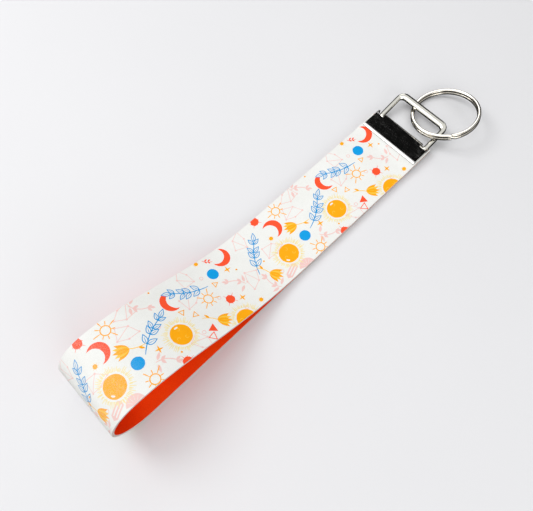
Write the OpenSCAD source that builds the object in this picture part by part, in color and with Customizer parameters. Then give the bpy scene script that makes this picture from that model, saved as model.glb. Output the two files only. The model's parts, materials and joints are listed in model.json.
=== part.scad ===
// Wrist strap key holder: a printed strip folded into a loop, its two tails held in a
// folded metal clamp, with a wire bail pivoting in the clamp and a split ring on the bail.
// +Y runs along the strap towards the ring, +X across it, and the strap lies on Z = 0.
// The origin is the middle of the strap's flat underside.

/* [Strap] */
// Width of the strap
strap_w = 32; // [25:0.5:38]
// Length of the strap's flat underside
flat_l = 148; // [120:1:180]
// Radius of the fold's nose
nose_r = 14.5; // [9:0.5:18]
// Thickness of the printed face layer
face_t = 0.5; // [0.3:0.05:0.6]
// Thickness of the lining layer
lining_t = 0.7; // [0.4:0.05:0.8]
// Stretch next to the clamp where the two halves lie together
joined_l = 59; // [30:1:70]
// How late the upper half leaves the lower one, 1 is an even rise
rise_bias = 1.3; // [1:0.05:1.5]

/* [Clamp] */
// Width of the clamp
clamp_w = 30.5; // [24:0.5:36]
// Height of the clamp from its mouth to its spine
clamp_h = 12.2; // [10:0.1:15]
// Length of the lips that curve in to the strap at the mouth
lip_l = 1.6; // [1:0.1:2.5]
// Thickness of the clamp's sheet
sheet_t = 0.7; // [0.5:0.05:0.8]
// Sideways place of the clamp on the strap
clamp_shift = 0.1; // [-0.5:0.1:0.5]

/* [Bail] */
// Thickness of the bail's wire
bail_d = 2.4; // [2:0.05:2.45]
// Width of the bail between the middles of its legs
bail_w = 26.4; // [25.6:0.1:27]
// Length of the bail from its pivot to the middle of its bar
bail_l = 14.7; // [13:0.1:18]
// Outer rounding of the bail's corners, to the middle of the wire
bail_corner_r = 3; // [2:0.1:6]
// Lift of the bail from the strap's plane
bail_lift = 12; // [10:1:20]

/* [Split ring] */
// Outer diameter of the split ring
ring_d = 31.2; // [30:0.2:32]
// Thickness of its wire, measured outwards
ring_wire_w = 1.6; // [1.4:0.1:1.7]
// Thickness of one turn along the ring's axis
ring_turn_t = 1.35; // [1.2:0.05:1.4]
// Lean of the ring, its right side up
ring_lean = 15; // [12:1:16]

/* [Hidden] */

layer_t = face_t + lining_t;
halves_gap = 0.15;                             // air between the two lining faces
stack_t = 2 * layer_t + halves_gap;
entry_l = 5.4;                                 // where the halves spread into the clamp
mouth_y = flat_l / 2 + entry_l;

strap_slack = 0.025;                           // between the strap and each clamp plate
clamp_t = stack_t + 2 * (sheet_t + strap_slack);
mid_z = clamp_t / 2;                           // middle plane of the clamp
entry_z = mid_z - stack_t / 2;
spine_r = clamp_t / 2;
pin_bore_r = spine_r - sheet_t;
pivot_y = mouth_y + clamp_h - spine_r;
lip_drop = 0.5;                                // how far the lips curve in
lip_r = (lip_l * lip_l + lip_drop * lip_drop) / (2 * lip_drop);
lip_steps = 8;

nose_y = -flat_l / 2;
loop_h = 2 * nose_r;
rise_l = flat_l - joined_l;
nose_steps = 26;
rise_steps = 34;
entry_steps = 6;

tail_l = clamp_h - 0.4;                        // tails at the right edge, outside the clamp
tail_in_l = clamp_h - spine_r - bail_d / 2 - 0.3;   // tails inside, short of the pins

slot_out = clamp_w / 2 - 0.4;                  // slots in the spine for the bail's legs
slot_in = slot_out - bail_d - 1.2;
slot_back = 0.9;                               // how far a slot runs past the pivot

tooth_pitch = 3;
tooth_count = 9;
tooth_w = 1.2;
tooth_h = 0.4;

pin_l = 6;
bail_x = clamp_shift + slot_out - bail_w / 2 - bail_d / 2 - 0.1;
bar_y = pivot_y + bail_l * cos(bail_lift);
bar_z = mid_z + bail_l * sin(bail_lift);

ring_gap = 0.1;                                // between the ring's two turns
ring_t = 2 * ring_turn_t + ring_gap;
ring_r = ring_d / 2;
ring_x = 8.6;
ring_y = bar_y + 5.6;
ring_z = ring_r * sin(ring_lean) + ring_t / 2 * cos(ring_lean) + 0.02;
ring_turned = -50;                             // where the turns cross, round the ring
cross_a = 16;                                  // the crossing's angle
end_gap_a = 5;                                 // space between a wire end and the crossing
cross_step = 0.06;
wire_corner = 0.3;

round_fn = 64;

function smooth(s) = (1 - cos(180 * s)) / 2;

// Outside line of the strap as [y, z], from the lower tail round the nose to the upper tail
entry_low = [for (i = [0 : entry_steps - 1]) let (s = i / entry_steps)
    [mouth_y - s * entry_l, entry_z * (1 - smooth(s))]];
nose = [for (i = [0 : nose_steps]) let (a = 180 * i / nose_steps)
    [nose_y - nose_r * sin(a), nose_r * (1 - cos(a))]];
rise = [for (i = [1 : rise_steps]) let (s = 1 - i / rise_steps)
    [nose_y + rise_l * (1 - s), stack_t + (loop_h - stack_t) * smooth(pow(s, rise_bias))]];
entry_high = [for (i = [0 : entry_steps]) let (s = i / entry_steps)
    [mouth_y - entry_l * (1 - s), stack_t + entry_z * smooth(s)]];
outline = concat(
    [[mouth_y + tail_l, entry_z]], entry_low, [[flat_l / 2, 0]],
    nose, rise, entry_high,
    [[mouth_y + tail_l, stack_t + entry_z]]);

// Inward normal at each point, square to the line through its neighbours
last = len(outline) - 1;
normals = [for (i = [0 : last])
    let (d = outline[min(i + 1, last)] - outline[max(i - 1, 0)])
    [d[1], -d[0]] / norm(d)];

// One layer of the strap, between two depths below the outside line
module strap_layer(depth_a, depth_b) {
    side_a = [for (i = [0 : last]) outline[i] + depth_a * normals[i]];
    side_b = [for (i = [last : -1 : 0]) outline[i] + depth_b * normals[i]];
    pocket_right = clamp_shift + clamp_w / 2 + 0.05;
    difference() {
        rotate([90, 0, 90])
            linear_extrude(height = strap_w, center = true)
                polygon(concat(side_a, side_b));
        // the tails stop short of the pins everywhere but outside the clamp's right end
        translate([-strap_w, mouth_y + tail_in_l, -1])
            cube([strap_w + pocket_right, clamp_h, clamp_t + 2]);
    }
}

module strap_face() {
    color([0.95, 0.94, 0.92]) strap_layer(0, face_t);
}

module strap_lining() {
    color([0.93, 0.22, 0.03]) strap_layer(face_t, layer_t);
}

// Outside of the upper plate above the middle plane, from the lip's end to the spine
upper_half = concat(
    [for (i = [lip_steps : -1 : 0]) let (a = asin(lip_l / lip_r) * i / lip_steps)
        [mouth_y + lip_l - lip_r * sin(a), mid_z - lip_r * (1 - cos(a))]],
    [[pivot_y, mid_z]]);

module clamp_section() {
    difference() {
        translate([0, mid_z]) {
            polygon(concat([[mouth_y, 0]], upper_half, [[pivot_y, 0]]));
            mirror([0, 1]) polygon(concat([[mouth_y, 0]], upper_half, [[pivot_y, 0]]));
            translate([pivot_y, 0]) circle(r = spine_r, $fn = round_fn);
        }
        translate([mouth_y - 1, sheet_t])
            square([pivot_y - mouth_y + 1, clamp_t - 2 * sheet_t]);
        translate([pivot_y, mid_z]) circle(r = pin_bore_r, $fn = round_fn);
    }
}

// A row of teeth that bite into the strap just inside the mouth
module tooth_row() {
    for (i = [0 : tooth_count - 1])
        translate([(i - (tooth_count - 1) / 2) * tooth_pitch, 0, 0])
            rotate([90, 0, 90])
                linear_extrude(height = tooth_w, center = true)
                    polygon([[0, -0.05], [tooth_w, -0.05], [tooth_w / 2, tooth_h]]);
}

module clamp() {
    color([0.72, 0.72, 0.74])
    translate([clamp_shift, 0, 0]) {
        difference() {
            rotate([90, 0, 90])
                linear_extrude(height = clamp_w, center = true) clamp_section();
            for (side = [-1, 1])
                translate([side * (slot_in + slot_out) / 2, pivot_y - slot_back + clamp_h / 2, mid_z])
                    cube([slot_out - slot_in, clamp_h, clamp_t + 1], center = true);
        }
        translate([0, mouth_y + 0.6, sheet_t]) tooth_row();
        translate([0, mouth_y + 0.6, clamp_t - sheet_t]) mirror([0, 0, 1]) tooth_row();
    }
}

// One half of the bail: a pin in the spine, a leg, a corner and half the bar
module bail_half() {
    wire_r = bail_d / 2;
    leg_x = bail_w / 2;
    translate([leg_x - pin_l, 0, 0]) rotate([0, 90, 0])
        cylinder(h = pin_l, r = wire_r, $fn = round_fn);
    translate([leg_x, 0, 0]) sphere(r = wire_r, $fn = round_fn);
    translate([leg_x, 0, 0]) rotate([-90, 0, 0])
        cylinder(h = bail_l - bail_corner_r, r = wire_r, $fn = round_fn);
    translate([leg_x - bail_corner_r, bail_l - bail_corner_r, 0])
        rotate_extrude(angle = 90, $fn = round_fn)
            translate([bail_corner_r, 0]) circle(r = wire_r, $fn = round_fn);
    translate([-0.01, bail_l, 0]) rotate([0, 90, 0])
        cylinder(h = leg_x - bail_corner_r + 0.01, r = wire_r, $fn = round_fn);
}

module bail() {
    color([0.8, 0.79, 0.76])
    translate([bail_x, pivot_y, mid_z]) rotate([bail_lift, 0, 0]) {
        bail_half();
        mirror([1, 0, 0]) bail_half();
    }
}

// Part of one turn of the ring's flat wire, its corners cut off
module ring_arc(from_a, sweep_a, width, height) {
    half_w = width / 2;
    half_h = height / 2;
    cut = wire_corner;
    rotate([0, 0, from_a])
        rotate_extrude(angle = sweep_a, $fn = 96)
            translate([ring_r - ring_wire_w / 2, 0])
                polygon([
                    [-half_w, -half_h + cut], [-half_w + cut, -half_h],
                    [half_w - cut, -half_h], [half_w, -half_h + cut],
                    [half_w, half_h - cut], [half_w - cut, half_h],
                    [-half_w + cut, half_h], [-half_w, half_h - cut]]);
}

module split_ring() {
    turn_z = (ring_turn_t + ring_gap) / 2;
    turn_a = 360 - cross_a - end_gap_a;
    color([0.78, 0.77, 0.75])
    translate([ring_x, ring_y, ring_z]) rotate([0, -ring_lean, 0]) rotate([0, 0, ring_turned]) {
        // the crossing is a little slimmer than the turns that it joins
        ring_arc(0, cross_a, ring_wire_w - cross_step, ring_t - cross_step);
        translate([0, 0, -turn_z])
            ring_arc(cross_a - 1, turn_a + 1, ring_wire_w, ring_turn_t);
        translate([0, 0, turn_z])
            ring_arc(cross_a + end_gap_a, turn_a + 1, ring_wire_w, ring_turn_t);
    }
}

strap_face();
strap_lining();
clamp();
bail();
split_ring();
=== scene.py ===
import json
import math
import random

import bmesh
import bpy
import numpy as np
from mathutils import Matrix, Vector
from mathutils.geometry import delaunay_2d_cdt


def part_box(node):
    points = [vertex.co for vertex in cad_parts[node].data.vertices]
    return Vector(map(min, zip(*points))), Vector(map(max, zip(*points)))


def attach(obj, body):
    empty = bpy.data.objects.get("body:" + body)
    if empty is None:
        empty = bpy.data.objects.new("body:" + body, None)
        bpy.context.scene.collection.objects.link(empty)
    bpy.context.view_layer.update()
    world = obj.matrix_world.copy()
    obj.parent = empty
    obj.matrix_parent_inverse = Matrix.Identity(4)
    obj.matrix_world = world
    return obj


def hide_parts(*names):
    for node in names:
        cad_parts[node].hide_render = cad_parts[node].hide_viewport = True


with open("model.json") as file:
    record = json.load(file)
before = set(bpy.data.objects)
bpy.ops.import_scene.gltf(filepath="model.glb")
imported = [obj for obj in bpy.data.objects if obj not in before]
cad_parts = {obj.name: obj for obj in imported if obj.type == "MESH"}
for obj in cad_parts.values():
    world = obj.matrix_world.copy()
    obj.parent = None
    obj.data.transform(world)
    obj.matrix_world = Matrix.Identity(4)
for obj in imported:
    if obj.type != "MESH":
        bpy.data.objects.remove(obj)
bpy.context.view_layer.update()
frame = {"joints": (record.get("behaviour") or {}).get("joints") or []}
mm = 0.001


cameraSetup = {
    "target": (-0.00027, 0.00237, 0.0),
    "azimuth": 50.39,
    "elevation": 69.45,
    "roll": -4.41,
    "distance": 0.22095,
    "lens": 34.37,
}


def addCamera():
    azimuth, elevation, roll = (math.radians(cameraSetup[k]) for k in ("azimuth", "elevation", "roll"))
    back = Vector((math.sin(azimuth) * math.cos(elevation),
                   -math.cos(azimuth) * math.cos(elevation),
                   math.sin(elevation)))
    level = Vector((math.cos(azimuth), math.sin(azimuth), 0))
    right = math.cos(roll) * level + math.sin(roll) * back.cross(level)
    turn = Matrix((right, back.cross(right), back)).transposed().to_4x4()
    data = bpy.data.cameras.new("camera")
    data.lens = cameraSetup["lens"]
    data.clip_start = 0.01
    camera = bpy.data.objects.new("camera", data)
    place = Vector(cameraSetup["target"]) + back * cameraSetup["distance"]
    camera.matrix_world = Matrix.Translation(place) @ turn
    bpy.context.scene.collection.objects.link(camera)
    bpy.context.scene.camera = camera


addCamera()
bpy.context.scene.view_settings.view_transform = "Standard"    # keeps the inks as bright as they are mixed
print("camera set")


def linear(red, green, blue):
    # 0 to 255 screen values to the linear colour that a socket takes
    parts = [v / 255 for v in (red, green, blue)]
    parts = [v / 12.92 if v <= 0.04045 else ((v + 0.055) / 1.055) ** 2.4 for v in parts]
    return (*parts, 1.0)


def addNode(tree, kind, inputs=None, **settings):
    node = tree.nodes.new("ShaderNode" + kind)
    for key, value in settings.items():
        setattr(node, key, value)
    for key, value in (inputs or {}).items():
        if isinstance(value, bpy.types.NodeSocket):
            tree.links.new(value, node.inputs[key])
        else:
            node.inputs[key].default_value = value
    return node


def mixColours(tree, factor, first, second, blend="MIX"):
    return addNode(tree, "Mix", {0: factor, 6: first, 7: second},
                   data_type="RGBA", blend_type=blend).outputs[2]


def remap(tree, value, fromLow, fromHigh, toLow=0.0, toHigh=1.0):
    return addNode(tree, "MapRange", {"Value": value, "From Min": fromLow, "From Max": fromHigh,
                                      "To Min": toLow, "To Max": toHigh}).outputs["Result"]


def calc(tree, operation, first, second=0.0):
    return addNode(tree, "Math", {0: first, 1: second}, operation=operation).outputs[0]


def vectorCalc(tree, operation, first, second):
    return addNode(tree, "VectorMath", {0: first, 1: second}, operation=operation).outputs[0]


def noise(tree, spot, scale, detail, roughness=0.5):
    return addNode(tree, "TexNoise", {"Vector": spot, "Scale": scale, "Detail": detail,
                                      "Roughness": roughness}).outputs


def newGroup(name, inputs, outputs):
    group = bpy.data.node_groups.new(name, "ShaderNodeTree")
    for label, kind, value in inputs:
        socket = group.interface.new_socket(label, in_out="INPUT", socket_type="NodeSocket" + kind)
        if value is not None:
            socket.default_value = value
    for label, kind in outputs:
        group.interface.new_socket(label, in_out="OUTPUT", socket_type="NodeSocket" + kind)
    return group, group.nodes.new("NodeGroupInput").outputs, group.nodes.new("NodeGroupOutput").inputs


def useGroup(tree, group, inputs):
    return addNode(tree, "Group", inputs, node_tree=group).outputs


def newMaterial(name):
    material = bpy.data.materials.new(name)
    material.use_nodes = True
    tree = material.node_tree
    tree.nodes.clear()
    shader = addNode(tree, "BsdfPrincipled")
    output = addNode(tree, "OutputMaterial")
    tree.links.new(shader.outputs[0], output.inputs[0])
    spot = addNode(tree, "TexCoord").outputs["Object"]
    return material, tree, shader.inputs, spot


def makePebbleGrain():
    # the embossed grain of coated cloth: rounded cells with fine creases between them
    group, given, out = newGroup(
        "pebbleGrain",
        [("Vector", "Vector", None), ("Cell", "Float", 0.0005)],
        [("Height", "Float"), ("Crease", "Float"), ("Mottle", "Float")])
    spot = given["Vector"]
    perCell = calc(group, "DIVIDE", 1.0, given["Cell"])
    wander = noise(group, spot, perCell, 1.0)["Color"]
    shift = vectorCalc(group, "SUBTRACT", wander, (0.5, 0.5, 0.5))
    shift = addNode(group, "VectorMath", {0: shift, "Scale": given["Cell"]}, operation="SCALE").outputs[0]
    moved = vectorCalc(group, "ADD", spot, shift)
    cells = addNode(group, "TexVoronoi", {"Vector": moved, "Scale": perCell}, feature="DISTANCE_TO_EDGE")
    toEdge = cells.outputs["Distance"]
    dome = addNode(group, "MapRange", {"Value": toEdge, "From Max": 0.35},
                   interpolation_type="SMOOTHSTEP").outputs["Result"]
    fine = noise(group, spot, calc(group, "MULTIPLY", perCell, 5.0), 3.0)["Fac"]
    height = calc(group, "ADD", calc(group, "MULTIPLY", dome, 0.8), calc(group, "MULTIPLY", fine, 0.3))
    group.links.new(height, out["Height"])
    group.links.new(remap(group, toEdge, 0.0, 0.14, 1.0, 0.0), out["Crease"])
    group.links.new(noise(group, spot, 90.0, 4.0, 0.6)["Fac"], out["Mottle"])
    return group


def makeMetalWear():
    # hairline scratches, finger haze and pinholes of plated wire and sheet
    group, given, out = newGroup(
        "metalWear",
        [("Vector", "Vector", None), ("Along", "Vector", (60.0, 2600.0, 2600.0)), ("Rim", "Float", 0.0)],
        [("Scratch", "Float"), ("Haze", "Float"), ("Rub", "Float"), ("Ripple", "Float")])
    spot = given["Vector"]
    drawn = vectorCalc(group, "MULTIPLY", spot, given["Along"])
    group.links.new(remap(group, noise(group, drawn, 1.0, 3.0, 0.7)["Fac"], 0.56, 0.72), out["Scratch"])
    group.links.new(remap(group, noise(group, spot, 260.0, 5.0, 0.62)["Fac"], 0.42, 0.7), out["Haze"])
    chips = remap(group, noise(group, spot, 1500.0, 2.0)["Fac"], 0.45, 0.62)
    group.links.new(calc(group, "MULTIPLY", chips, given["Rim"]), out["Rub"])
    group.links.new(noise(group, spot, 190.0, 1.0)["Fac"], out["Ripple"])
    return group


pebbleGrain = makePebbleGrain()
metalWear = makeMetalWear()


studio = {
    "floorColour": linear(226, 226, 228),
    "floorSide": 12.0,
    "lamps": {                 # place, size and power
        "keyLamp": ((-0.55, -0.16, 0.62), 0.42, 2.4),
        "fillLamp": ((0.65, -0.2, 0.3), 0.5, 1.7),
        "frontLamp": ((-0.18, -0.85, 0.3), 0.5, 0.7),
        "topLamp": ((-0.22, -0.1, 0.95), 0.7, 1.6),
        "backLamp": ((-0.463, 0.565, 0.463), 0.3, 0.4),
    },
    "skyTop": 0.8,
    "skySide": 0.06,
    "skyLow": 0.03,
    "cardPlace": (-0.275, 0.697, 0.438),
    "cardSides": (0.25, 0.92),
}


def addFloor():
    half = studio["floorSide"] / 2
    mesh = bpy.data.meshes.new("floor")
    low = -0.00004
    mesh.from_pydata([(-half, -half, low), (half, -half, low), (half, half, low), (-half, half, low)],
                     [], [(0, 1, 2, 3)])
    floor = bpy.data.objects.new("floor", mesh)
    bpy.context.scene.collection.objects.link(floor)
    material, tree, shader, spot = newMaterial("floorPaper")
    tone = noise(tree, spot, 7.0, 4.0)["Fac"]
    fibre = noise(tree, spot, 900.0, 3.0)["Fac"]
    darker = tuple(0.95 * c for c in studio["floorColour"][:3]) + (1.0,)
    tree.links.new(mixColours(tree, tone, studio["floorColour"], darker), shader["Base Color"])
    tree.links.new(remap(tree, fibre, 0.3, 0.7, 0.6, 0.75), shader["Roughness"])
    bump = addNode(tree, "Bump", {"Height": fibre, "Strength": 0.15, "Distance": 0.0001})
    tree.links.new(bump.outputs[0], shader["Normal"])
    mesh.materials.append(material)
    floor.visible_glossy = False     # the polished metal mirrors the dark room under the sky instead


def addLamp(name, place, size, power):
    data = bpy.data.lights.new(name, "AREA")
    data.shape = "DISK"
    data.size = size
    data.energy = power
    lamp = bpy.data.objects.new(name, data)
    lamp.location = place
    lamp.rotation_euler = Vector(place).to_track_quat("Z", "Y").to_euler()
    lamp.visible_camera = False
    bpy.context.scene.collection.objects.link(lamp)


def addSky():
    world = bpy.data.worlds.new("sky")
    bpy.context.scene.world = world
    world.use_nodes = True
    tree = world.node_tree
    tree.nodes.clear()
    height = addNode(tree, "SeparateXYZ", {0: addNode(tree, "TexCoord").outputs["Generated"]}).outputs["Z"]
    level = remap(tree, height, 0.2, 0.8, studio["skySide"], studio["skyTop"])
    ground = remap(tree, height, -0.05, 0.05, studio["skyLow"] / studio["skySide"], 1.0)
    level = calc(tree, "MULTIPLY", level, ground)
    background = addNode(tree, "Background", {"Color": (1.0, 1.0, 1.0, 1.0), "Strength": level})
    output = addNode(tree, "OutputWorld")
    tree.links.new(background.outputs[0], output.inputs[0])


def addCard():
    # a dark card that only the polished metal sees, so the clamp's flat plate mirrors it
    x, y = (side / 2 for side in studio["cardSides"])
    mesh = bpy.data.meshes.new("darkCard")
    mesh.from_pydata([(-x, -y, 0), (x, -y, 0), (x, y, 0), (-x, y, 0)], [], [(0, 1, 2, 3)])
    card = bpy.data.objects.new("darkCard", mesh)
    clampLow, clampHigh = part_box("clamp")
    middle = (clampLow + clampHigh) / 2
    card.location = Vector(studio["cardPlace"])
    card.rotation_euler = (card.location - middle).to_track_quat("Z", "Y").to_euler()
    bpy.context.scene.collection.objects.link(card)
    material, _, shader, _ = newMaterial("cardBlack")
    shader["Base Color"].default_value = (0.004, 0.004, 0.004, 1.0)
    shader["Roughness"].default_value = 0.9
    shader["Specular IOR Level"].default_value = 0.0
    mesh.materials.append(material)
    card.visible_camera = False
    card.visible_diffuse = False
    card.visible_shadow = False


addFloor()
for lampName, lampFacts in studio["lamps"].items():
    addLamp(lampName, *lampFacts)
addSky()
addCard()
print("studio set")


def linkMesh(name, points, faces, normals, material):
    mesh = bpy.data.meshes.new(name)
    mesh.from_pydata([tuple(p) for p in points], [], [tuple(f) for f in faces])
    mesh.polygons.foreach_set("use_smooth", [True] * len(faces))
    mesh.materials.append(material)
    mesh.update()
    mesh.normals_split_custom_set_from_vertices([tuple(n) for n in normals])
    piece = bpy.data.objects.new(name, mesh)
    bpy.context.scene.collection.objects.link(piece)
    return piece


def unit(rows):
    return rows / np.maximum(np.linalg.norm(rows, axis=-1, keepdims=True), 1e-12)


def makeFold(outside, inside, startAt=0):
    # a bent sheet's two side lines as (y, z) rows, measured along the outside one from point startAt
    def outward(line):
        step = np.gradient(line, axis=0)
        return unit(np.stack([step[:, 1], -step[:, 0]], axis=1))
    lengths = np.concatenate([[0], np.cumsum(np.linalg.norm(np.diff(outside, axis=0), axis=1))])
    return {"s": lengths - lengths[startAt], "outside": outside, "inside": inside,
            "outWay": outward(outside), "inWay": -outward(inside),
            "along": unit(np.gradient(outside, axis=0))}


def onFold(fold, key, s):
    return np.stack([np.interp(s, fold["s"], fold[key][:, i]) for i in (0, 1)], axis=1)


def boundaryLoops(faces):
    # the open edges of some triangles, as loops with the triangles on their left
    edges = {(f[i], f[(i + 1) % 3]) for f in faces for i in range(3)}
    after = {a: b for a, b in edges if (b, a) not in edges}
    loops = []
    while after:
        loop = [next(iter(sorted(after)))]
        while loop[-1] in after:
            loop.append(after.pop(loop[-1]))
        loops.append(loop[:-1])
    return loops


def cutFlat(outline, holes, crossings, shapes):
    # triangles of a flat cut, split along its crossings and shapes, with a colour number each
    corners, regions, lines = [], [], []
    for polygon in [outline] + holes + [points for _, points in shapes]:
        regions.append(list(range(len(corners), len(corners) + len(polygon))))
        corners += [Vector(p) for p in polygon]
    wide = max(abs(p[0]) for p in outline) + 1
    for s in crossings:
        lines.append((len(corners), len(corners) + 1))
        corners += [Vector((-wide, s)), Vector((wide, s))]
    flat, _, cells, _, _, owners = delaunay_2d_cdt(corners, lines, regions, 0, 1e-5, True)
    firstShape = 1 + len(holes)
    kept, paints = [], []
    for cell, owner in zip(cells, owners):
        if 0 in owner and not any(1 <= k < firstShape for k in owner):
            top = max(owner)
            kept.append(cell)
            paints.append(shapes[top - firstShape][0] if top >= firstShape else 0)
    used = sorted({i for cell in kept for i in cell})
    renumber = {old: new for new, old in enumerate(used)}
    return np.array([tuple(flat[i]) for i in used]), [[renumber[i] for i in cell] for cell in kept], paints


def fillInside(name, flat, loops, rimPoints, crossings):
    # triangles of the inside face, from the rim's points alone, joined straight across at each crossing
    order = {p: i for i, p in enumerate(rimPoints)}
    crossEdges = []
    for s in crossings:
        row = sorted((i for i in rimPoints if abs(flat[i][1] - s) < 1e-4), key=lambda i: flat[i][0])
        crossEdges += [(order[a], order[b]) for a, b in zip(row, row[1:])]
    outer = max(range(len(loops)), key=lambda k: np.ptp(flat[loops[k]], axis=0).prod())
    regions = [[order[i] for i in (loop if k == outer else loop[::-1])] for k, loop in enumerate(loops)]
    found, _, cells, sources, _, owners = delaunay_2d_cdt(
        [Vector(flat[i]) for i in rimPoints], crossEdges, regions, 0, 1e-6, True)
    if len(found) != len(rimPoints):
        print(name, "inside face has", len(found) - len(rimPoints), "points more than its rim")
    point = {k: rimPoints[given[0]] for k, given in enumerate(sources) if given}
    return [[point[i] for i in cell] for cell, owner in zip(cells, owners) if owner == [outer]]


def rimWays(flat, loops):
    # outward way of each rim point in the flat, longer at corners so that both sides keep their distance
    away = np.zeros((len(flat), 2))
    for loop in loops:
        line = flat[loop]
        ahead = unit(np.roll(line, -1, axis=0) - line)
        behind = np.roll(ahead, 1, axis=0)
        first, second = (np.stack([d[:, 1], -d[:, 0]], axis=1) for d in (behind, ahead))
        away[loop] = (first + second) / (1 + (first * second).sum(axis=1, keepdims=True))
    return away


def foldSheet(name, fold, outline, holes, crossings, shapes, rim, material):
    # A flat cut of sheet, given in mm across and along it, bent to a fold with real thickness and
    # rounded rims. shapes are painted on its outside in turn: (colour number, points).
    thickness = np.linalg.norm(fold["outside"] - fold["inside"], axis=1).max()
    flat, kept, paints = cutFlat(outline, holes, crossings, shapes)
    loops = boundaryLoops(kept)
    rimPoints = [i for loop in loops for i in loop]
    insideCells = fillInside(name, flat, loops, rimPoints, crossings)
    away = rimWays(flat, loops)
    # the rim's rings, as how far out, which share of the thickness and which turn of the surface
    steps = [(math.sin(a), 1 - math.cos(a), a) for a in np.linspace(0, math.pi / 2, 4)]
    rings = [(reach, drop * rim / thickness, a) for reach, drop, a in steps]
    rings += [(reach, 1 - drop * rim / thickness, math.pi - a) for reach, drop, a in reversed(steps)]
    level = np.zeros(len(flat))
    blocks = [(flat[:, 0], flat[:, 1], level, level, away)]
    for reach, depth, angle in rings[1:]:
        moved = flat[rimPoints] + away[rimPoints] * reach * rim / mm
        blocks.append((moved[:, 0], moved[:, 1], np.full(len(rimPoints), depth),
                       np.full(len(rimPoints), angle), away[rimPoints]))
    x, s, share, turn, aways = (np.concatenate(column) for column in zip(*blocks))
    aways = unit(aways + 1e-12)
    s = s * mm
    line = onFold(fold, "outside", s) * (1 - share[:, None]) + onFold(fold, "inside", s) * share[:, None]
    points = np.column_stack([x * mm, line])
    way = np.where(turn[:, None] <= math.pi / 2, onFold(fold, "outWay", s), -onFold(fold, "inWay", s))
    along = onFold(fold, "along", s)
    normals = np.column_stack([np.zeros(len(x)), way]) * np.cos(turn)[:, None]
    side = np.column_stack([aways[:, 0], along * aways[:, 1:]])
    normals += side * np.sin(turn)[:, None]
    faces = [cell[::-1] for cell in kept]
    edgePaint = {(f[i], f[(i + 1) % 3]): p for f, p in zip(kept, paints) for i in range(3)}
    cutNumber = -1
    number = {i: k for k, i in enumerate(rimPoints)}
    start = [len(flat) + k * len(rimPoints) for k in range(len(rings) - 1)]
    for k, low in enumerate([None] + start[:-1]):
        for loop in loops:
            for a, b in zip(loop, loop[1:] + loop[:1]):
                lowA, lowB = (a, b) if low is None else (low + number[a], low + number[b])
                faces.append([lowA, lowB, start[k] + number[b], start[k] + number[a]])
                paints.append(edgePaint[(a, b)] if low is None else cutNumber)
    faces += [[start[-1] + number[i] for i in cell] for cell in insideCells]
    paints += [0] * len(insideCells)
    piece = linkMesh(name, points, faces, unit(normals), material)
    rimness = piece.data.attributes.new("rim", "FLOAT", "POINT")
    rimness.data.foreach_set("value", np.sin(turn).astype(np.float32))
    return piece, faces, paints, s


strapSetup = {
    "faceT": 0.5 * mm,
    "liningT": 0.7 * mm,
    "halvesGap": 0.15 * mm,
    "joinedL": 59 * mm,        # stretch next to the clamp where the halves lie together
    "riseBias": 1.3,
    "faceRim": 0.1 * mm,
    "liningRim": 0.14 * mm,
    "tailL": 8.7 * mm,         # how far the tails go into the clamp
    "sliverL": 11.8 * mm,      # the same for the edge that stands outside the clamp's right end
    "sliverGap": 0.05 * mm,
}
faceLow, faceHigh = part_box("strap_face")
clampLow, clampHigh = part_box("clamp")
mouthY = clampLow.y


def smoothRise(s):
    return (1 - np.cos(math.pi * s)) / 2


def strapLine():
    # outside line of the strap from its upper tail round the nose to its lower tail, and the mouth's place
    noseR = faceHigh.z / 2
    noseY = faceLow.y + noseR
    flatEnd = -noseY
    entryL = mouthY - flatEnd
    stackT = 2 * (strapSetup["faceT"] + strapSetup["liningT"]) + strapSetup["halvesGap"]
    entryZ = (clampHigh.z - stackT) / 2
    tail = strapSetup["sliverL"]
    riseL = flatEnd - strapSetup["joinedL"] - noseY
    step = 0.2 * mm
    spread = lambda length: np.linspace(0, 1, max(2, int(length / step)))[1:]
    rows = [np.array([[mouthY + tail, stackT + entryZ]])]
    t = spread(tail)
    rows.append(np.column_stack([mouthY + tail * (1 - t), np.full(len(t), stackT + entryZ)]))
    mouth = sum(len(r) for r in rows) - 1
    t = spread(entryL)
    rows.append(np.column_stack([mouthY - entryL * t, stackT + entryZ * smoothRise(1 - t)]))
    t = spread(strapSetup["joinedL"])
    rows.append(np.column_stack([flatEnd - strapSetup["joinedL"] * t, np.full(len(t), stackT)]))
    t = spread(riseL)
    lift = (2 * noseR - stackT) * smoothRise(t ** strapSetup["riseBias"])
    rows.append(np.column_stack([flatEnd - strapSetup["joinedL"] - riseL * t, stackT + lift]))
    noseStart = sum(len(r) for r in rows) - 1
    a = math.pi * spread(math.pi * noseR)
    rows.append(np.column_stack([noseY - noseR * np.sin(a), noseR * (1 + np.cos(a))]))
    noseEnd = sum(len(r) for r in rows) - 1
    t = spread(flatEnd - noseY)
    rows.append(np.column_stack([noseY + (flatEnd - noseY) * t, np.zeros(len(t))]))
    t = spread(entryL)
    rows.append(np.column_stack([flatEnd + entryL * t, entryZ * smoothRise(t)]))
    t = spread(tail)
    rows.append(np.column_stack([mouthY + tail * t, np.full(len(t), entryZ)]))
    return np.concatenate(rows), mouth, (noseStart, noseEnd)


strapOutside, mouthPoint, nosePoints = strapLine()
strapFold = makeFold(strapOutside, strapOutside, mouthPoint)


def layerFold(depth, thickness):
    # one layer of the strap; its s stays that of the strap's own outside line
    outward = strapFold["outWay"]
    sides = [strapOutside - outward * d for d in (depth, depth + thickness)]
    return {**makeFold(*sides), "s": strapFold["s"], "outWay": outward, "inWay": -outward}


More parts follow.
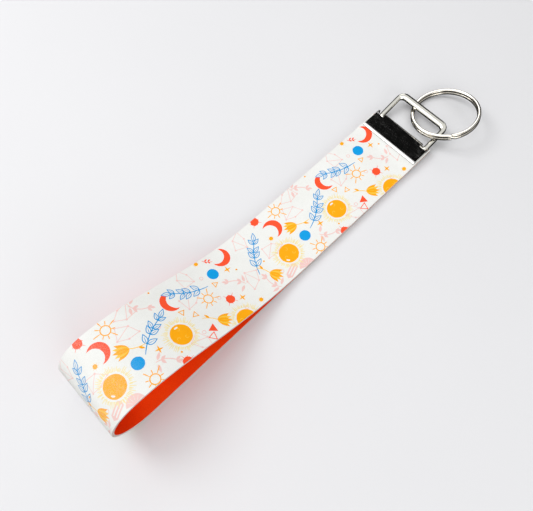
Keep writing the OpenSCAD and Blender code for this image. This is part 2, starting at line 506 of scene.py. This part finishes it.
def strapOutline(rim):
    # the cut strip in mm, drawn in by the rim, with its two slivers beside the clamp's right end
    halfW = (faceHigh.x - rim) / mm
    inset = rim / mm
    start = -strapSetup["tailL"] / mm + inset
    end = (strapLength() + strapSetup["tailL"]) / mm - inset
    sliver = (strapSetup["sliverL"] - strapSetup["tailL"]) / mm
    sliverX = (clampHigh.x + strapSetup["sliverGap"]) / mm + inset
    return [(-halfW, start), (sliverX, start), (sliverX, start - sliver), (halfW, start - sliver),
            (halfW, end + sliver), (sliverX, end + sliver), (sliverX, end), (-halfW, end)]


def strapLength():
    # along the outside from the clamp's mouth round to the mouth again
    return strapFold["s"][-1] - strapSetup["sliverL"]


def strapCrossings():
    # lines across the strip where it bends, close together round the nose
    s = strapFold["s"]
    noseFrom, noseTo = s[nosePoints[0]] / mm, s[nosePoints[1]] / mm
    flatL, whole = strapSetup["joinedL"] / mm, strapLength() / mm
    spots = list(np.arange(-0.5, 8, 0.5)) + list(np.arange(flatL + 4, noseFrom - 0.6, 1.5))
    spots += list(np.arange(noseFrom, noseTo, 0.7)) + list(np.arange(noseTo, whole - 8, 12.0))
    return spots + list(np.arange(whole - 7, whole + 0.6, 0.5))


# The print on the strap's face is drawn in mm across and along the strip.

inks = {
    "ground": (238, 239, 236),
    "gold": (254, 172, 4),
    "goldLight": (255, 200, 70),
    "straw": (243, 224, 156),
    "coral": (252, 84, 46),
    "rose": (241, 201, 196),
    "blue": (0, 157, 228),
    "leafBlue": (0, 148, 216),
    "cut": (222, 220, 216),
}
inkNames = list(inks)

printSetup = {"repeat": 89.6, "start": -1.1, "pitch": 0.983, "line": 0.46, "seed": 11}
printShapes = []
hand = random.Random(printSetup["seed"])


def paint(ink, points):
    # every outline runs the same way round, as the triangulation needs
    ahead = points[1:] + points[:1]
    area = sum(x0 * y1 - x1 * y0 for (x0, y0), (x1, y1) in zip(points, ahead))
    printShapes.append((inkNames.index(ink), points if area > 0 else points[::-1]))


def polar(x, y, angle, distance):
    return x + math.cos(angle) * distance, y + math.sin(angle) * distance


def disc(ink, x, y, r, wobble=0.02):
    count = max(9, int(20 * math.sqrt(r)))
    paint(ink, [polar(x, y, 2 * math.pi * i / count, r * (1 + hand.uniform(-wobble, wobble)))
                for i in range(count)])


def stroke(ink, points, width=printSetup["line"], ends=(0.5, 0.35)):
    left, right = [], []
    last = len(points) - 1
    for i, (x, y) in enumerate(points):
        (x0, y0), (x1, y1) = points[max(i - 1, 0)], points[min(i + 1, last)]
        size = math.hypot(x1 - x0, y1 - y0)
        share = i / last
        half = width / 2 * min(1, ends[0] + 3 * share, ends[1] + 3 * (1 - share))
        sideX, sideY = -(y1 - y0) / size * half, (x1 - x0) / size * half
        left.append((x + sideX, y + sideY))
        right.append((x - sideX, y - sideY))
    paint(ink, left + right[::-1])


def bowed(start, end, bow, count=7):
    # points on a line from start to end that bows sideways by bow
    (x0, y0), (x1, y1) = start, end
    sideX, sideY = -(y1 - y0), x1 - x0
    size = math.hypot(sideX, sideY)
    rows = []
    for i in range(count):
        t = i / (count - 1)
        lift = 4 * t * (1 - t) * bow / size
        rows.append((x0 + (x1 - x0) * t + sideX * lift, y0 + (y1 - y0) * t + sideY * lift))
    return rows


def leaf(ink, x, y, angle, length, width, hollow=False, steps=6):
    def blade(start, size, half):
        sides = []
        for side in (1, -1):
            row = []
            for i in range(steps + 1):
                t = i / steps
                px, py = polar(x, y, angle, start + size * t)
                row.append(polar(px, py, angle + math.pi / 2, side * half * math.sin(math.pi * t ** 0.8)))
            sides.append(row[:-1] if side == 1 else row[::-1][:-1])
        return sides[0] + sides[1]
    paint(ink, blade(0, length, width / 2))
    if hollow:
        line = printSetup["line"] * 0.72
        paint("ground", blade(line * 1.4, length - line * 3.2, width / 2 - line))
        stroke(ink, [polar(x, y, angle, length * k) for k in (0.0, 0.35, 0.7)], line * 0.8)


def drawSun(x, y, turn):
    for i in range(66):
        angle = turn + 2 * math.pi * (i + hand.uniform(-0.3, 0.3)) / 66
        inner, outer = hand.uniform(5.0, 5.4), hand.choice((6.3, 6.6, 7.0, 7.6))
        stroke("straw", [polar(x, y, angle, r) for r in (inner, outer)], 0.48, (0.8, 0.35))
    disc("gold", x, y, 4.35, 0.012)
    for i in range(3):
        angle = turn + 2.1 * i + hand.uniform(-0.3, 0.3)
        cx, cy = polar(x, y, angle, 2.1)
        swirl = [polar(cx, cy, angle + 0.9 * k, 0.95 - 0.13 * k) for k in range(6)]
        stroke("goldLight", swirl, 0.22)
    glint = [polar(x, y, turn + 3.7 + 0.12 * k, 3.25) for k in range(5)]
    stroke("ground", glint, 0.7, (0.5, 0.5))


def drawRingSun(x, y, turn):
    rays = 9
    for i in range(rays):
        angle = turn + 2 * math.pi * i / rays
        outer = 3.4 + 1.2 * (i % 2) + hand.uniform(0, 0.5)
        stroke("gold", [polar(x, y, angle, r) for r in (2.0, (2.0 + outer) / 2, outer)], 0.4, (0.4, 0.8))
    disc("gold", x, y, 2.1)
    disc("ground", x, y, 1.68)


def drawMoon(x, y, turn):
    outer, inner, shift = 4.3, 3.75, 2.2
    meet = math.acos((outer ** 2 + shift ** 2 - inner ** 2) / (2 * outer * shift))
    innerMeet = math.pi - math.acos((inner ** 2 + shift ** 2 - outer ** 2) / (2 * inner * shift))
    cx, cy = polar(x, y, turn, shift)
    count = 18
    away = [polar(x, y, turn + meet + (2 * math.pi - 2 * meet) * i / count, outer)
            for i in range(count + 1)]
    back = [polar(cx, cy, turn - innerMeet - (2 * math.pi - 2 * innerMeet) * i / count,
                  inner * (1 + hand.uniform(-0.015, 0.015))) for i in range(1, count)]
    paint("coral", away + back)


def drawSprig(x, y, turn, length=18.5, pairs=4, ink="leafBlue", hollow=True):
    tip = polar(x, y, turn, length * 0.84)
    stem = bowed((x, y), tip, hand.choice((-1.1, 1.1)), 13)
    stroke(ink, stem, printSetup["line"] * 0.8, (0.6, 1.0))
    for k in range(pairs):
        px, py = stem[3 + int(round(8.2 * k / (pairs - 1)))]
        size = (length * 0.24) * (1 - 0.06 * k)
        for side in (1, -1):
            spread = math.radians(hand.uniform(34, 46))
            leaf(ink, px, py, turn + side * spread, size, size * 0.5, hollow)
    leaf(ink, *stem[-1], turn, length * 0.24, length * 0.11, hollow)


def drawRoseSprig(x, y, turn):
    drawSprig(x, y, turn, 9.5, 2, "rose", False)
    for side in (1, -1):
        bx, by = polar(x, y, turn + side * 0.9, 1.0)
        leaf("rose", bx, by, turn + side * 1.25, 3.4, 1.2)


def drawCoralSprig(x, y, turn):
    stroke("coral", bowed((x, y), polar(x, y, turn, 4.6), 0.4), 0.28)
    for k in (1.2, 2.6):
        for side in (1, -1):
            px, py = polar(x, y, turn, k)
            leaf("coral", px, py, turn + side * 0.8, 1.5, 0.7)


def drawBlueDisc(x, y, turn):
    disc("blue", x, y, 2.5)


def drawCoralDisc(x, y, turn):
    for i in range(8):
        angle = turn + 2 * math.pi * i / 8 + hand.uniform(-0.1, 0.1)
        stroke("coral", [polar(x, y, angle, r) for r in (1.5, 2.4 + 0.8 * (i % 2))], 0.3, (1.0, 0.3))
    disc("coral", x, y, 1.9, 0.05)


def drawFlower(x, y, turn):
    # an open tulip with its stem running back from the cup
    foot = polar(x, y, turn + math.pi, 2.6)
    end = polar(x, y, turn + math.pi, 8.6)
    stem = bowed(foot, end, 0.5)
    stroke("goldLight", stem, 0.32, (1.0, 0.4))
    leaf("gold", *stem[3], turn + math.pi + 0.5, 2.6, 0.9)
    for k in (-2, 2, -1, 1, 0):
        angle = turn + 0.27 * k
        leaf("goldLight" if k % 2 else "gold", *foot, angle, 6.3 - 0.25 * abs(k), 1.9)
    for k in (-1, 0, 1):
        vein = [polar(*foot, turn + 0.27 * k, r) for r in (1.6, 3.0, 4.6)]
        stroke("gold" if k else "goldLight", vein, 0.2)


def drawSparkle(x, y, turn):
    points = []
    for i in range(16):
        reach = (1.75, 0.78, 0.45, 0.78)[i % 4]
        points.append(polar(x, y, turn + 2 * math.pi * i / 16, reach))
    paint("gold", points)


def drawGoldDot(x, y, turn):
    for i in range(8):
        stroke("goldLight", [polar(x, y, turn + math.pi * i / 4, r) for r in (0.6, 1.45)], 0.26)
    disc("gold", x, y, 0.9)


def drawSpeck(x, y, turn):
    disc("gold", x, y, 0.42)


def drawRoseRing(x, y, turn):
    disc("rose", x, y, 0.85)
    disc("ground", x, y, 0.58)


def triangle(ink, x, y, turn, size, hollow):
    paint(ink, [polar(x, y, turn + 2.094 * k, size) for k in range(3)])
    if hollow:
        paint("ground", [polar(x, y, turn + 2.094 * k, size - 0.66) for k in range(3)])


def drawGoldTriangle(x, y, turn):
    triangle("gold", x, y, turn, 1.7, True)


def drawCoralTriangles(x, y, turn):
    triangle("coral", x, y, turn, 2.2, False)
    triangle("coral", *polar(x, y, turn + 1.1, 3.4), turn + 0.2, 2.2, True)


def drawStars(x, y, turn):
    # a few fixed stars joined by fine lines
    spots = [polar(x, y, turn + a, r)
             for a, r in ((0.2, 4.6), (1.5, 3.0), (2.7, 4.8), (3.9, 2.4), (5.2, 4.2))]
    for a, b in ((0, 1), (1, 2), (2, 3), (3, 4), (4, 0), (1, 4)):
        stroke("rose", [spots[a], spots[b]], 0.24, (1.0, 1.0))
    for spot in spots:
        disc("rose", *spot, 0.42)


def drawCrystal(x, y, turn):
    long, half = 3.4, 1.5
    corner = lambda a, b: polar(*polar(x, y, turn, a), turn + math.pi / 2, b)
    paint("rose", [corner(long, 0), corner(long - 1.3, half), corner(-long, half), corner(-long - 0.8, 0),
                   corner(-long, -half), corner(long - 1.3, -half)])
    for side in (-1, 1):
        stroke("ground", [corner(-long + 0.2, side * 0.62), corner(long - 1.7, side * 0.62)], 0.5, (1, 1))


def drawHalfDisc(x, y, turn):
    count = 16
    paint("rose", [polar(x, y, turn + math.pi * i / count, 3.7) for i in range(count + 1)])
    for k in range(1, 6):
        a = turn + math.pi * k / 6
        stroke("ground", [polar(x, y, a, r) for r in (1.4, 3.2)], 0.24)


# where each motif stands in one repeat: across, along and its turn
printLayout = [
    (drawStars, [(-12.5, 24.5, 0.4), (-3.2, 29.0, 1.9), (13.2, 37.5, 3.1), (-6.2, 57.8, 2.5),
                 (-12.0, 84.5, 0.9), (4.5, 1.5, 4.1), (-13.5, 53.5, 5.0), (0.5, 76.5, 2.2)]),
    (drawRoseSprig, [(4.4, 5.0, 2.3), (9.2, 56.5, -1.0), (-14.8, 50.5, -0.9), (15.2, 85.6, 2.9)]),
    (drawCrystal, [(13.2, 77.6, 1.2)]),
    (drawHalfDisc, [(16.2, 70.5, 1.9)]),
    (drawRoseRing, [(2.6, 18.6, 0), (10.6, 34.2, 0), (-1.2, 46.8, 0), (10.4, 80.4, 0), (-8.6, 18.4, 0),
                    (12.6, 12.4, 0)]),
    (drawSun, [(16.4, 16.0, 2.2), (6.2, 42.0, -0.8), (6.4, 72.4, 3.2)]),
    (drawMoon, [(-11.6, 5.0, 2.5), (-7.2, 36.0, -1.4), (-6.6, 69.6, 1.3)]),
    (drawSprig, [(-4.2, 18.6, 1.95), (4.6, 57.4, -2.15), (5.2, 88.6, -2.55)]),
    (drawRingSun, [(0.4, 22.6, 0.2), (-11.8, 62.6, 0.9), (13.8, 60.4, 2.0)]),
    (drawBlueDisc, [(-7.4, 13.0, 0), (5.4, 61.4, 0)]),
    (drawCoralDisc, [(5.8, 15.2, 0.2), (16.0, 47.2, 0.6), (-14.6, 73.0, 0.1)]),
    (drawFlower, [(11.0, 24.0, -0.9), (-1.6, 62.8, 1.9), (9.4, 83.6, -0.5)]),
    (drawSparkle, [(-5.4, 6.6, 0.1), (8.2, 10.6, 0.0), (6.0, 52.4, 0.2)]),
    (drawGoldDot, [(-15.2, 15.6, 0.2), (13.8, 5.2, 0.1), (-3.8, 73.2, 0.3)]),
    (drawSpeck, [(-3.0, 3.6, 0), (11.8, 46.6, 0), (-15.0, 40.6, 0), (1.8, 83.0, 0)]),
    (drawGoldTriangle, [(-3.2, 15.6, 0.5), (-0.9, 35.6, 0.2), (2.8, 31.8, 1.4)]),
    (drawCoralTriangles, [(11.4, 30.2, -0.4)]),
    (drawCoralSprig, [(-15.0, 12.6, -0.9)]),
]


def drawPrint():
    reach = strapLength() / mm
    for k in range(-1, int(reach / printSetup["repeat"]) + 1):
        for draw, spots in printLayout:
            for x, s, turn in spots:
                place = printSetup["start"] + s * printSetup["pitch"] + k * printSetup["repeat"]
                if -20 < place < reach + 20:
                    draw(x, place, turn)


drawPrint()
print("print drawn,", len(printShapes), "shapes")


def makeFaceMaterial():
    material, tree, shader, spot = newMaterial("printedFace")
    ink = addNode(tree, "Attribute", attribute_name="ink").outputs
    rim = addNode(tree, "Attribute", attribute_name="rim").outputs["Fac"]
    noseSheen = addNode(tree, "Attribute", attribute_name="noseSheen").outputs["Fac"]
    grain = useGroup(tree, pebbleGrain, {"Vector": spot, "Cell": 0.00042})
    # ink thins a little in the grain's creases; the stronger lightening round the nose is painted sheen, the
    # grain catching the light where the strip turns
    thinInkAndSheen = calc(tree, "MULTIPLY", grain["Crease"], remap(tree, noseSheen, 0.0, 1.0, 0.01, 0.34))
    thinInkAndSheen = calc(tree, "MULTIPLY", thinInkAndSheen, ink["Alpha"])
    colour = mixColours(tree, thinInkAndSheen, ink["Color"], linear(*inks["ground"]))
    mottle = remap(tree, grain["Mottle"], 0.3, 0.7)
    toned = mixColours(tree, mottle, (1.0, 1.0, 1.0, 1.0), (0.955, 0.95, 0.94, 1.0))
    colour = mixColours(tree, 1.0, colour, toned, "MULTIPLY")
    # painted shade: the grain's creases are darkened in the colour
    shade = remap(tree, grain["Crease"], 0.0, 1.0, 0.0, 0.35)
    colour = mixColours(tree, shade, colour, (0.8, 0.79, 0.78, 1.0), "MULTIPLY")
    raw = mixColours(tree, noise(tree, spot, 2600.0, 4.0)["Fac"], linear(*inks["cut"]), linear(176, 173, 168))
    colour = mixColours(tree, remap(tree, rim, 0.6, 0.95), colour, raw)
    tree.links.new(colour, shader["Base Color"])
    shader["Specular IOR Level"].default_value = 0.1
    gloss = calc(tree, "ADD", remap(tree, grain["Crease"], 0.0, 1.0, 0.40, 0.58),
                 remap(tree, grain["Mottle"], 0.3, 0.7, -0.04, 0.05))
    tree.links.new(calc(tree, "ADD", gloss, calc(tree, "MULTIPLY", rim, 0.25)), shader["Roughness"])
    bump = addNode(tree, "Bump", {"Height": grain["Height"], "Strength": 0.45, "Distance": 0.00004})
    tree.links.new(bump.outputs[0], shader["Normal"])
    return material


def makeLiningMaterial():
    material, tree, shader, spot = newMaterial("orangeLining")
    rim = addNode(tree, "Attribute", attribute_name="rim").outputs["Fac"]
    grain = useGroup(tree, pebbleGrain, {"Vector": spot, "Cell": 0.0006})
    mottle = remap(tree, grain["Mottle"], 0.3, 0.7)
    colour = mixColours(tree, mottle, linear(255, 80, 6), linear(250, 68, 4))
    # painted shade: the grain's creases are darkened in the colour
    colour = mixColours(tree, remap(tree, grain["Crease"], 0.0, 1.0, 0.0, 0.25), colour, linear(216, 46, 4))
    fray = noise(tree, spot, 2200.0, 4.0)["Fac"]
    raw = mixColours(tree, fray, linear(222, 218, 212), linear(178, 172, 166))
    colour = mixColours(tree, remap(tree, rim, 0.6, 0.95), colour, raw)
    tree.links.new(colour, shader["Base Color"])
    shader["Specular IOR Level"].default_value = 0.12
    tree.links.new(remap(tree, grain["Crease"], 0.0, 1.0, 0.38, 0.6), shader["Roughness"])
    bump = addNode(tree, "Bump", {"Height": grain["Height"], "Strength": 0.4, "Distance": 0.00004})
    tree.links.new(bump.outputs[0], shader["Normal"])
    return material


def addNoseSheen(piece, s):
    # weight of the painted sheen: 1 round the nose, easing to 0 over a few millimetres on both sides
    noseFrom, noseTo = (strapFold["s"][i] for i in nosePoints)
    ease = 14 * mm
    value = np.clip(np.minimum((s - noseFrom + ease) / ease, (noseTo + ease - s) / ease), 0, 1)
    attribute = piece.data.attributes.new("noseSheen", "FLOAT", "POINT")
    attribute.data.foreach_set("value", value.astype(np.float32))


def addInk(piece, faces, paints):
    # the ink's colour at each face corner, with 1 in alpha where there is ink
    table = np.array([(*linear(*inks[name])[:3], float(name not in ("ground", "cut"))) for name in inkNames])
    perCorner = np.repeat(table[np.array(paints)], [len(f) for f in faces], axis=0)
    attribute = piece.data.attributes.new("ink", "FLOAT_COLOR", "CORNER")
    attribute.data.foreach_set("color", perCorner.astype(np.float32).ravel())


def buildStrap():
    crossings = strapCrossings()
    faceT, liningT = strapSetup["faceT"], strapSetup["liningT"]
    faceRim, liningRim = strapSetup["faceRim"], strapSetup["liningRim"]
    face, faces, paints, s = foldSheet("strapFace", layerFold(0, faceT), strapOutline(faceRim), [],
                                       crossings, printShapes, faceRim, makeFaceMaterial())
    addInk(face, faces, paints)
    addNoseSheen(face, s)
    print("strap face,", len(faces), "faces")
    lining, faces, _, _ = foldSheet("strapLining", layerFold(faceT, liningT), strapOutline(liningRim), [],
                                    crossings, [], liningRim, makeLiningMaterial())
    print("strap lining,", len(faces), "faces")
    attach(face, "strap")
    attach(lining, "strap")
    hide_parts("strap_face")
    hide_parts("strap_lining")


buildStrap()


def makeNickel(name, colour, along, roughness):
    material, tree, shader, spot = newMaterial(name)
    shader["Metallic"].default_value = 1.0
    rim = addNode(tree, "Attribute", attribute_name="rim").outputs["Fac"]
    wear = useGroup(tree, metalWear, {"Vector": spot, "Along": along, "Rim": rim})
    dull = tuple(0.82 * c for c in colour[:3]) + (1.0,)
    tint = mixColours(tree, calc(tree, "MULTIPLY", wear["Haze"], 0.35), colour, dull)
    tint = mixColours(tree, calc(tree, "MULTIPLY", wear["Rub"], 0.35), tint, linear(214, 196, 160))
    tree.links.new(tint, shader["Base Color"])
    rough = calc(tree, "ADD", roughness, calc(tree, "MULTIPLY", wear["Haze"], 0.05))
    rough = calc(tree, "ADD", rough, calc(tree, "MULTIPLY", wear["Scratch"], 0.08))
    rough = calc(tree, "ADD", rough, calc(tree, "MULTIPLY", wear["Rub"], 0.15))
    tree.links.new(rough, shader["Roughness"])
    height = calc(tree, "SUBTRACT", calc(tree, "MULTIPLY", wear["Ripple"], 1.0),
                  calc(tree, "MULTIPLY", wear["Scratch"], 0.02))
    bump = addNode(tree, "Bump", {"Height": height, "Strength": 0.2, "Distance": 0.00006})
    tree.links.new(bump.outputs[0], shader["Normal"])
    return material


clampSetup = {
    "sheetT": 0.7 * mm,
    "lipL": 1.6 * mm,
    "lipDrop": 0.5 * mm,
    "rim": 0.13 * mm,
    "earW": 0.4 * mm,          # outside each slot
    "slotW": 3.6 * mm,
    "slotBack": 0.9 * mm,      # how far a slot runs past the pivot
    "teeth": 9,
    "toothPitch": 3 * mm,
    "toothW": 1.2 * mm,
    "toothH": 0.4 * mm,
    "toothAt": 0.6 * mm,       # from the mouth
    "toothSunk": 0.05 * mm,
}


def clampLines():
    # outside and inside line of the folded plate, from the lower lip round the spine to the upper lip
    spineR = (clampHigh.z - clampLow.z) / 2
    midZ = clampLow.z + spineR
    pivotY = clampHigh.y - spineR
    lipL, lipDrop = clampSetup["lipL"], clampSetup["lipDrop"]
    lipR = (lipL ** 2 + lipDrop ** 2) / (2 * lipDrop)
    a = np.linspace(math.asin(lipL / lipR), 0, 10)
    lip = np.column_stack([mouthY + lipL - lipR * np.sin(a), spineR - lipR * (1 - np.cos(a))])
    plate = np.column_stack([np.linspace(mouthY + lipL, pivotY, 30)[1:], np.full(29, spineR)])
    b = np.linspace(math.pi / 2, -math.pi / 2, 41)[1:]
    spine = np.column_stack([pivotY + spineR * np.cos(b), spineR * np.sin(b)])
    upper = np.concatenate([lip, plate])
    line = np.concatenate([upper, spine, (upper * [1, -1])[::-1][1:]])[::-1]
    inner = spineR - clampSetup["sheetT"]
    inside = np.column_stack([line[:, 0], np.clip(line[:, 1], -inner, inner)])
    round_ = line[:, 0] > pivotY
    inside[round_] = [pivotY, 0] + (line[round_] - [pivotY, 0]) * inner / spineR
    return line + [0, midZ], inside + [0, midZ], pivotY


def buildClamp():
    outside, inside, pivotY = clampLines()
    fold = makeFold(outside, inside)
    whole = fold["s"][-1] / mm
    rim = clampSetup["rim"] / mm
    left, right = clampLow.x / mm + rim, clampHigh.x / mm - rim
    outline = [(left, rim), (right, rim), (right, whole - rim), (left, whole - rim)]
    slotAt = np.interp(pivotY - clampSetup["slotBack"], outside[:len(outside) // 2, 0],
                       fold["s"][:len(outside) // 2]) / mm
    low, high = slotAt - rim, whole - slotAt + rim
    near = clampSetup["earW"] / mm - 2 * rim
    far = (clampSetup["earW"] + clampSetup["slotW"]) / mm
    holes = []
    for a, b in ((left + near, left + far), (right - far, right - near)):
        holes.append([(a, low), (b, low), (b, high), (a, high)])
    lip = clampSetup["lipL"] / mm + 0.2
    middle = whole / 2
    crossings = list(np.linspace(rim, lip, 9)[1:]) + list(np.linspace(middle - 3.3, middle + 3.3, 34))
    crossings += [whole - s for s in np.linspace(rim, lip, 9)[1:]]
    material = makeNickel("clampNickel", linear(216, 215, 213), (40.0, 2200.0, 2200.0), 0.07)
    clamp, faces, _, _ = foldSheet("clamp", fold, outline, holes, crossings, [], clampSetup["rim"],
                                   material)
    addTeeth(clamp)
    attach(clamp, "strap")
    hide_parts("clamp")
    print("clamp,", len(faces), "faces")
    return clamp


def addTeeth(clamp):
    # two rows of small pyramids inside the mouth, which bite into the strap
    work = bmesh.new()
    work.from_mesh(clamp.data)
    middleX = (clampLow.x + clampHigh.x) / 2
    half, sunk = clampSetup["toothW"] / 2, clampSetup["toothSunk"]
    for upper in (False, True):
        base = clampHigh.z - clampSetup["sheetT"] if upper else clampLow.z + clampSetup["sheetT"]
        way = -1 if upper else 1
        for i in range(clampSetup["teeth"]):
            x = middleX + (i - (clampSetup["teeth"] - 1) / 2) * clampSetup["toothPitch"]
            y = mouthY + clampSetup["toothAt"] + half
            foot = [work.verts.new((x + a * half, y + b * half, base - way * sunk))
                    for a, b in ((-1, -1), (1, -1), (1, 1), (-1, 1))]
            tip = work.verts.new((x, y, base + way * clampSetup["toothH"]))
            made = [work.faces.new(foot)]
            made += [work.faces.new((foot[k], foot[(k + 1) % 4], tip)) for k in range(4)]
            bmesh.ops.recalc_face_normals(work, faces=made)
    work.to_mesh(clamp.data)
    work.free()


def sweepWire(name, centres, sideWays, upWays, sections, material, rimness=None):
    # a wire with one section, as (side, up) rows, at each of its centres; its ends are closed and eased
    centres, sideWays, upWays = (np.array(v, float) for v in (centres, sideWays, upWays))
    sections = np.array(sections, float)
    step = np.roll(sections, -1, axis=1) - np.roll(sections, 1, axis=1)
    outward = unit(np.stack([step[..., 1], -step[..., 0]], axis=-1))
    ahead = unit(np.gradient(centres, axis=0))
    count = sections.shape[1]
    ease = np.abs(sections[0]).max() * 0.14
    rings = [(0, -ease, 0.86, -1.0), (0, -ease * 0.3, 0.96, -0.6)]
    rings += [(i, 0.0, 1.0, 0.0) for i in range(len(centres))]
    rings += [(len(centres) - 1, ease * 0.3, 0.96, 0.6), (len(centres) - 1, ease, 0.86, 1.0)]
    points, normals = [], []
    for i, push, shrink, tilt in rings:
        spot = centres[i] + ahead[i] * push
        points.append(spot + shrink * (sections[i, :, :1] * sideWays[i] + sections[i, :, 1:] * upWays[i]))
        flat = outward[i, :, :1] * sideWays[i] + outward[i, :, 1:] * upWays[i]
        normals.append(unit(flat * (1 - abs(tilt) * 0.9) + ahead[i] * tilt))
    faces = []
    for k in range(len(rings) - 1):
        for j in range(count):
            a, b = k * count + j, k * count + (j + 1) % count
            faces.append((a, b, b + count, a + count))
    faces.append(tuple(range(count))[::-1])
    faces.append(tuple(range((len(rings) - 1) * count, len(rings) * count)))
    if np.dot(np.cross(sideWays[0], upWays[0]), ahead[0]) < 0:
        faces = [face[::-1] for face in faces]
    points, normals = np.concatenate(points), np.concatenate(normals)
    piece = linkMesh(name, points, faces, normals, material)
    rim = np.zeros(count) if rimness is None else np.array(rimness, float)
    attribute = piece.data.attributes.new("rim", "FLOAT", "POINT")
    attribute.data.foreach_set("value", np.tile(rim, len(rings)).astype(np.float32))
    return piece


bailSetup = {
    "wireD": 2.4 * mm,
    "pinL": 6 * mm,            # from the middle of a leg to the pin's tip
    "cornerR": 3 * mm,
    "footR": 1.35 * mm,        # bend from pin to leg
    "barW": 3.3 * mm,          # the cast bar is wider and flatter than its legs
    "sides": 28,
}
joints = {j["name"]: Vector(j["pos_m"]) for j in frame["joints"]}


def arcRow(centre, radius, fromA, toA, steps):
    return [(centre[0] + radius * math.cos(a), centre[1] + radius * math.sin(a))
            for a in np.linspace(math.radians(fromA), math.radians(toA), steps)]


def buildBail():
    pivot, bar = joints["bail_pivot"], joints["ring_swing"]
    low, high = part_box("bail")
    legX = (high.x - low.x - bailSetup["wireD"]) / 2
    reach = (bar - pivot).length
    lift = math.atan2(bar.z - pivot.z, bar.y - pivot.y)
    foot, corner = bailSetup["footR"], bailSetup["cornerR"]
    half = [(legX - bailSetup["pinL"] + 0.12 * mm, 0.0)]
    half += [(legX - bailSetup["pinL"] * k, 0.0) for k in (0.8, 0.6, 0.4)]
    half += arcRow((legX - foot, foot), foot, -90, 0, 9)
    half += [(legX, foot + (reach - corner - foot) * k) for k in (0.25, 0.5, 0.75)]
    half += arcRow((legX - corner, reach - corner), corner, 0, 90, 14)
    half += [((legX - corner) * k, reach) for k in (0.75, 0.5, 0.25)]
    line = half + [(0.0, reach)] + [(-x, y) for x, y in reversed(half)]
    turn = Matrix.Rotation(lift, 3, "X")
    centres = [pivot + turn @ Vector((x, y, 0)) for x, y in line]
    up = turn @ Vector((0, 0, 1))
    ahead = unit(np.gradient(np.array(centres), axis=0))
    sides = unit(np.cross(ahead, np.array(up)))
    spread = np.clip((np.array([y for _, y in line]) - reach + corner) / corner, 0, 1)
    a = np.linspace(0, 2 * math.pi, bailSetup["sides"], endpoint=False)
    legSection = np.column_stack([np.cos(a), np.sin(a)]) * bailSetup["wireD"] / 2
    barSection = np.sign(np.round(legSection, 9)) * np.abs(legSection / bailSetup["wireD"] * 2) ** 0.6
    barSection *= [bailSetup["barW"] / 2, bailSetup["wireD"] / 2 * 0.94]
    share = smoothRise(spread)[:, None, None]
    sections = legSection * (1 - share) + barSection * share
    material = makeNickel("bailNickel", linear(238, 236, 227), (1500.0, 260.0, 1500.0), 0.08)
    bail = sweepWire("bail", centres, sides, [up] * len(centres), sections, material)
    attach(bail, "bail")
    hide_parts("bail")
    print("bail built")


ringSetup = {
    "wireW": 1.6 * mm,
    "turnT": 1.35 * mm,
    "gap": 0.1 * mm,
    "lean": 15,
    "turned": -50,
    "crossA": 16,              # the angle over which the wire steps from the lower turn to the upper
    "scarfA": 7.2,             # how far each thinned end runs along the step
    "corner": 0.56 * mm,
    "step": 2.5,
}


def stepHeight(a, offset):
    # height of the crossing wire's middle at angle a, from 0 on the upper turn
    share = min(max(1 - a / ringSetup["crossA"], 0), 1)
    return offset * (2 * share * share * (3 - 2 * share) - 1)


def buildRing():
    low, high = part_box("split_ring")
    middle = (low + high) / 2
    lineR = (high.y - low.y) / 2 - ringSetup["wireW"] / 2
    full, gap, cross, scarf = (ringSetup[k] for k in ("turnT", "gap", "crossA", "scarfA"))
    offset = (full + gap) / 2
    turnA = 360 - cross + scarf
    whole = 2 * turnA + cross
    turn = Matrix.Rotation(math.radians(-ringSetup["lean"]), 3, "Y")
    turn = turn @ Matrix.Rotation(math.radians(ringSetup["turned"]), 3, "Z")
    stops = set(np.linspace(0, whole, int(whole / ringSetup["step"])))
    stops |= set(np.linspace(turnA, turnA + cross, 14))
    stops |= set(np.linspace(0, scarf, 6)) | set(np.linspace(whole - scarf, whole, 6))
    centres, sides, ups = [], [], []
    for along in sorted(stops):
        angle = 360 + scarf - along
        thick, height = full, stepHeight(angle, offset)
        if along < turnA:
            if angle > 360:      # the lower end, thinned under the step
                thick = min(full, stepHeight(angle - 360, offset) + offset - gap)
            height = -offset - (full - thick) / 2
        elif along > turnA + cross:
            if angle + 360 < cross:      # the upper end, thinned over the step
                thick = min(full, offset - stepHeight(angle + 360, offset) - gap)
            height = offset + (full - thick) / 2
        out = Vector((math.cos(math.radians(angle)), math.sin(math.radians(angle)), 0))
        centres.append(middle + turn @ (out * lineR + Vector((0, 0, height))))
        sides.append(turn @ out)
        ups.append(turn @ Vector((0, 0, thick / full)))
    halfW, halfT, corner = ringSetup["wireW"] / 2, ringSetup["turnT"] / 2, ringSetup["corner"]
    section = []
    for quarter, (cx, cy) in enumerate(((1, 1), (-1, 1), (-1, -1), (1, -1))):
        section += arcRow((cx * (halfW - corner), cy * (halfT - corner)), corner, 90 * quarter,
                          90 * quarter + 90, 6)
    rimness = [0.2, 0.7, 1.0, 1.0, 0.7, 0.2] * 4
    material = makeNickel("ringNickel", linear(236, 232, 223), (900.0, 900.0, 900.0), 0.06)
    ring = sweepWire("splitRing", centres, sides, ups, [section] * len(centres), material, rimness)
    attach(ring, "split_ring")
    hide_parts("split_ring")
    print("split ring built")


buildClamp()
buildBail()
buildRing()
